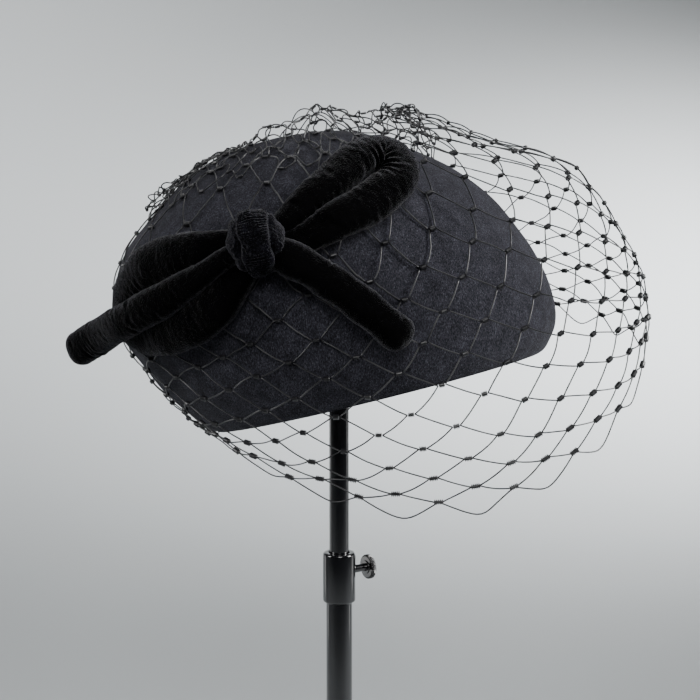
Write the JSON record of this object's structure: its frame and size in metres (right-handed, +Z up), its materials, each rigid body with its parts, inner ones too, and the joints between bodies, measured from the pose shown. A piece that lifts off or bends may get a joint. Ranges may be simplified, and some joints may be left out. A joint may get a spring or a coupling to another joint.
{
  "type": "pillbox hat with a bow and a veil on a display stand",
  "caption": "Domed felt hat with a padded velvet bow on its side and a coarse net veil, tilted on a slim telescoping metal stand with a round base.",
  "frame": {"origin": "middle of the underside of the stand's round base", "axes": "+Z up along the stand's pole, +X towards the front of the hat, where the veil stands out, +Y away from the bow"},
  "size_m": [0.2794, 0.1915, 0.4175],
  "materials": {
    "felt": "matte charcoal-black wool felt",
    "velvet": "black crushed velvet over padding",
    "netting": "black millinery net",
    "black_metal": "gloss black over metal"
  },
  "bodies": {
    "root": {"crown": "felt", "veil": "netting", "bow_knot": "velvet", "bow_tail_front": "velvet", "bow_tail_back": "velvet", "bow_loop_front": "velvet", "bow_loop_back": "velvet", "support_pad": "black_metal", "upper_tube": "black_metal", "collar": "black_metal", "thumb_screw": "black_metal", "lower_tube": "black_metal", "base": "black_metal"}
  },
  "joints": []
}
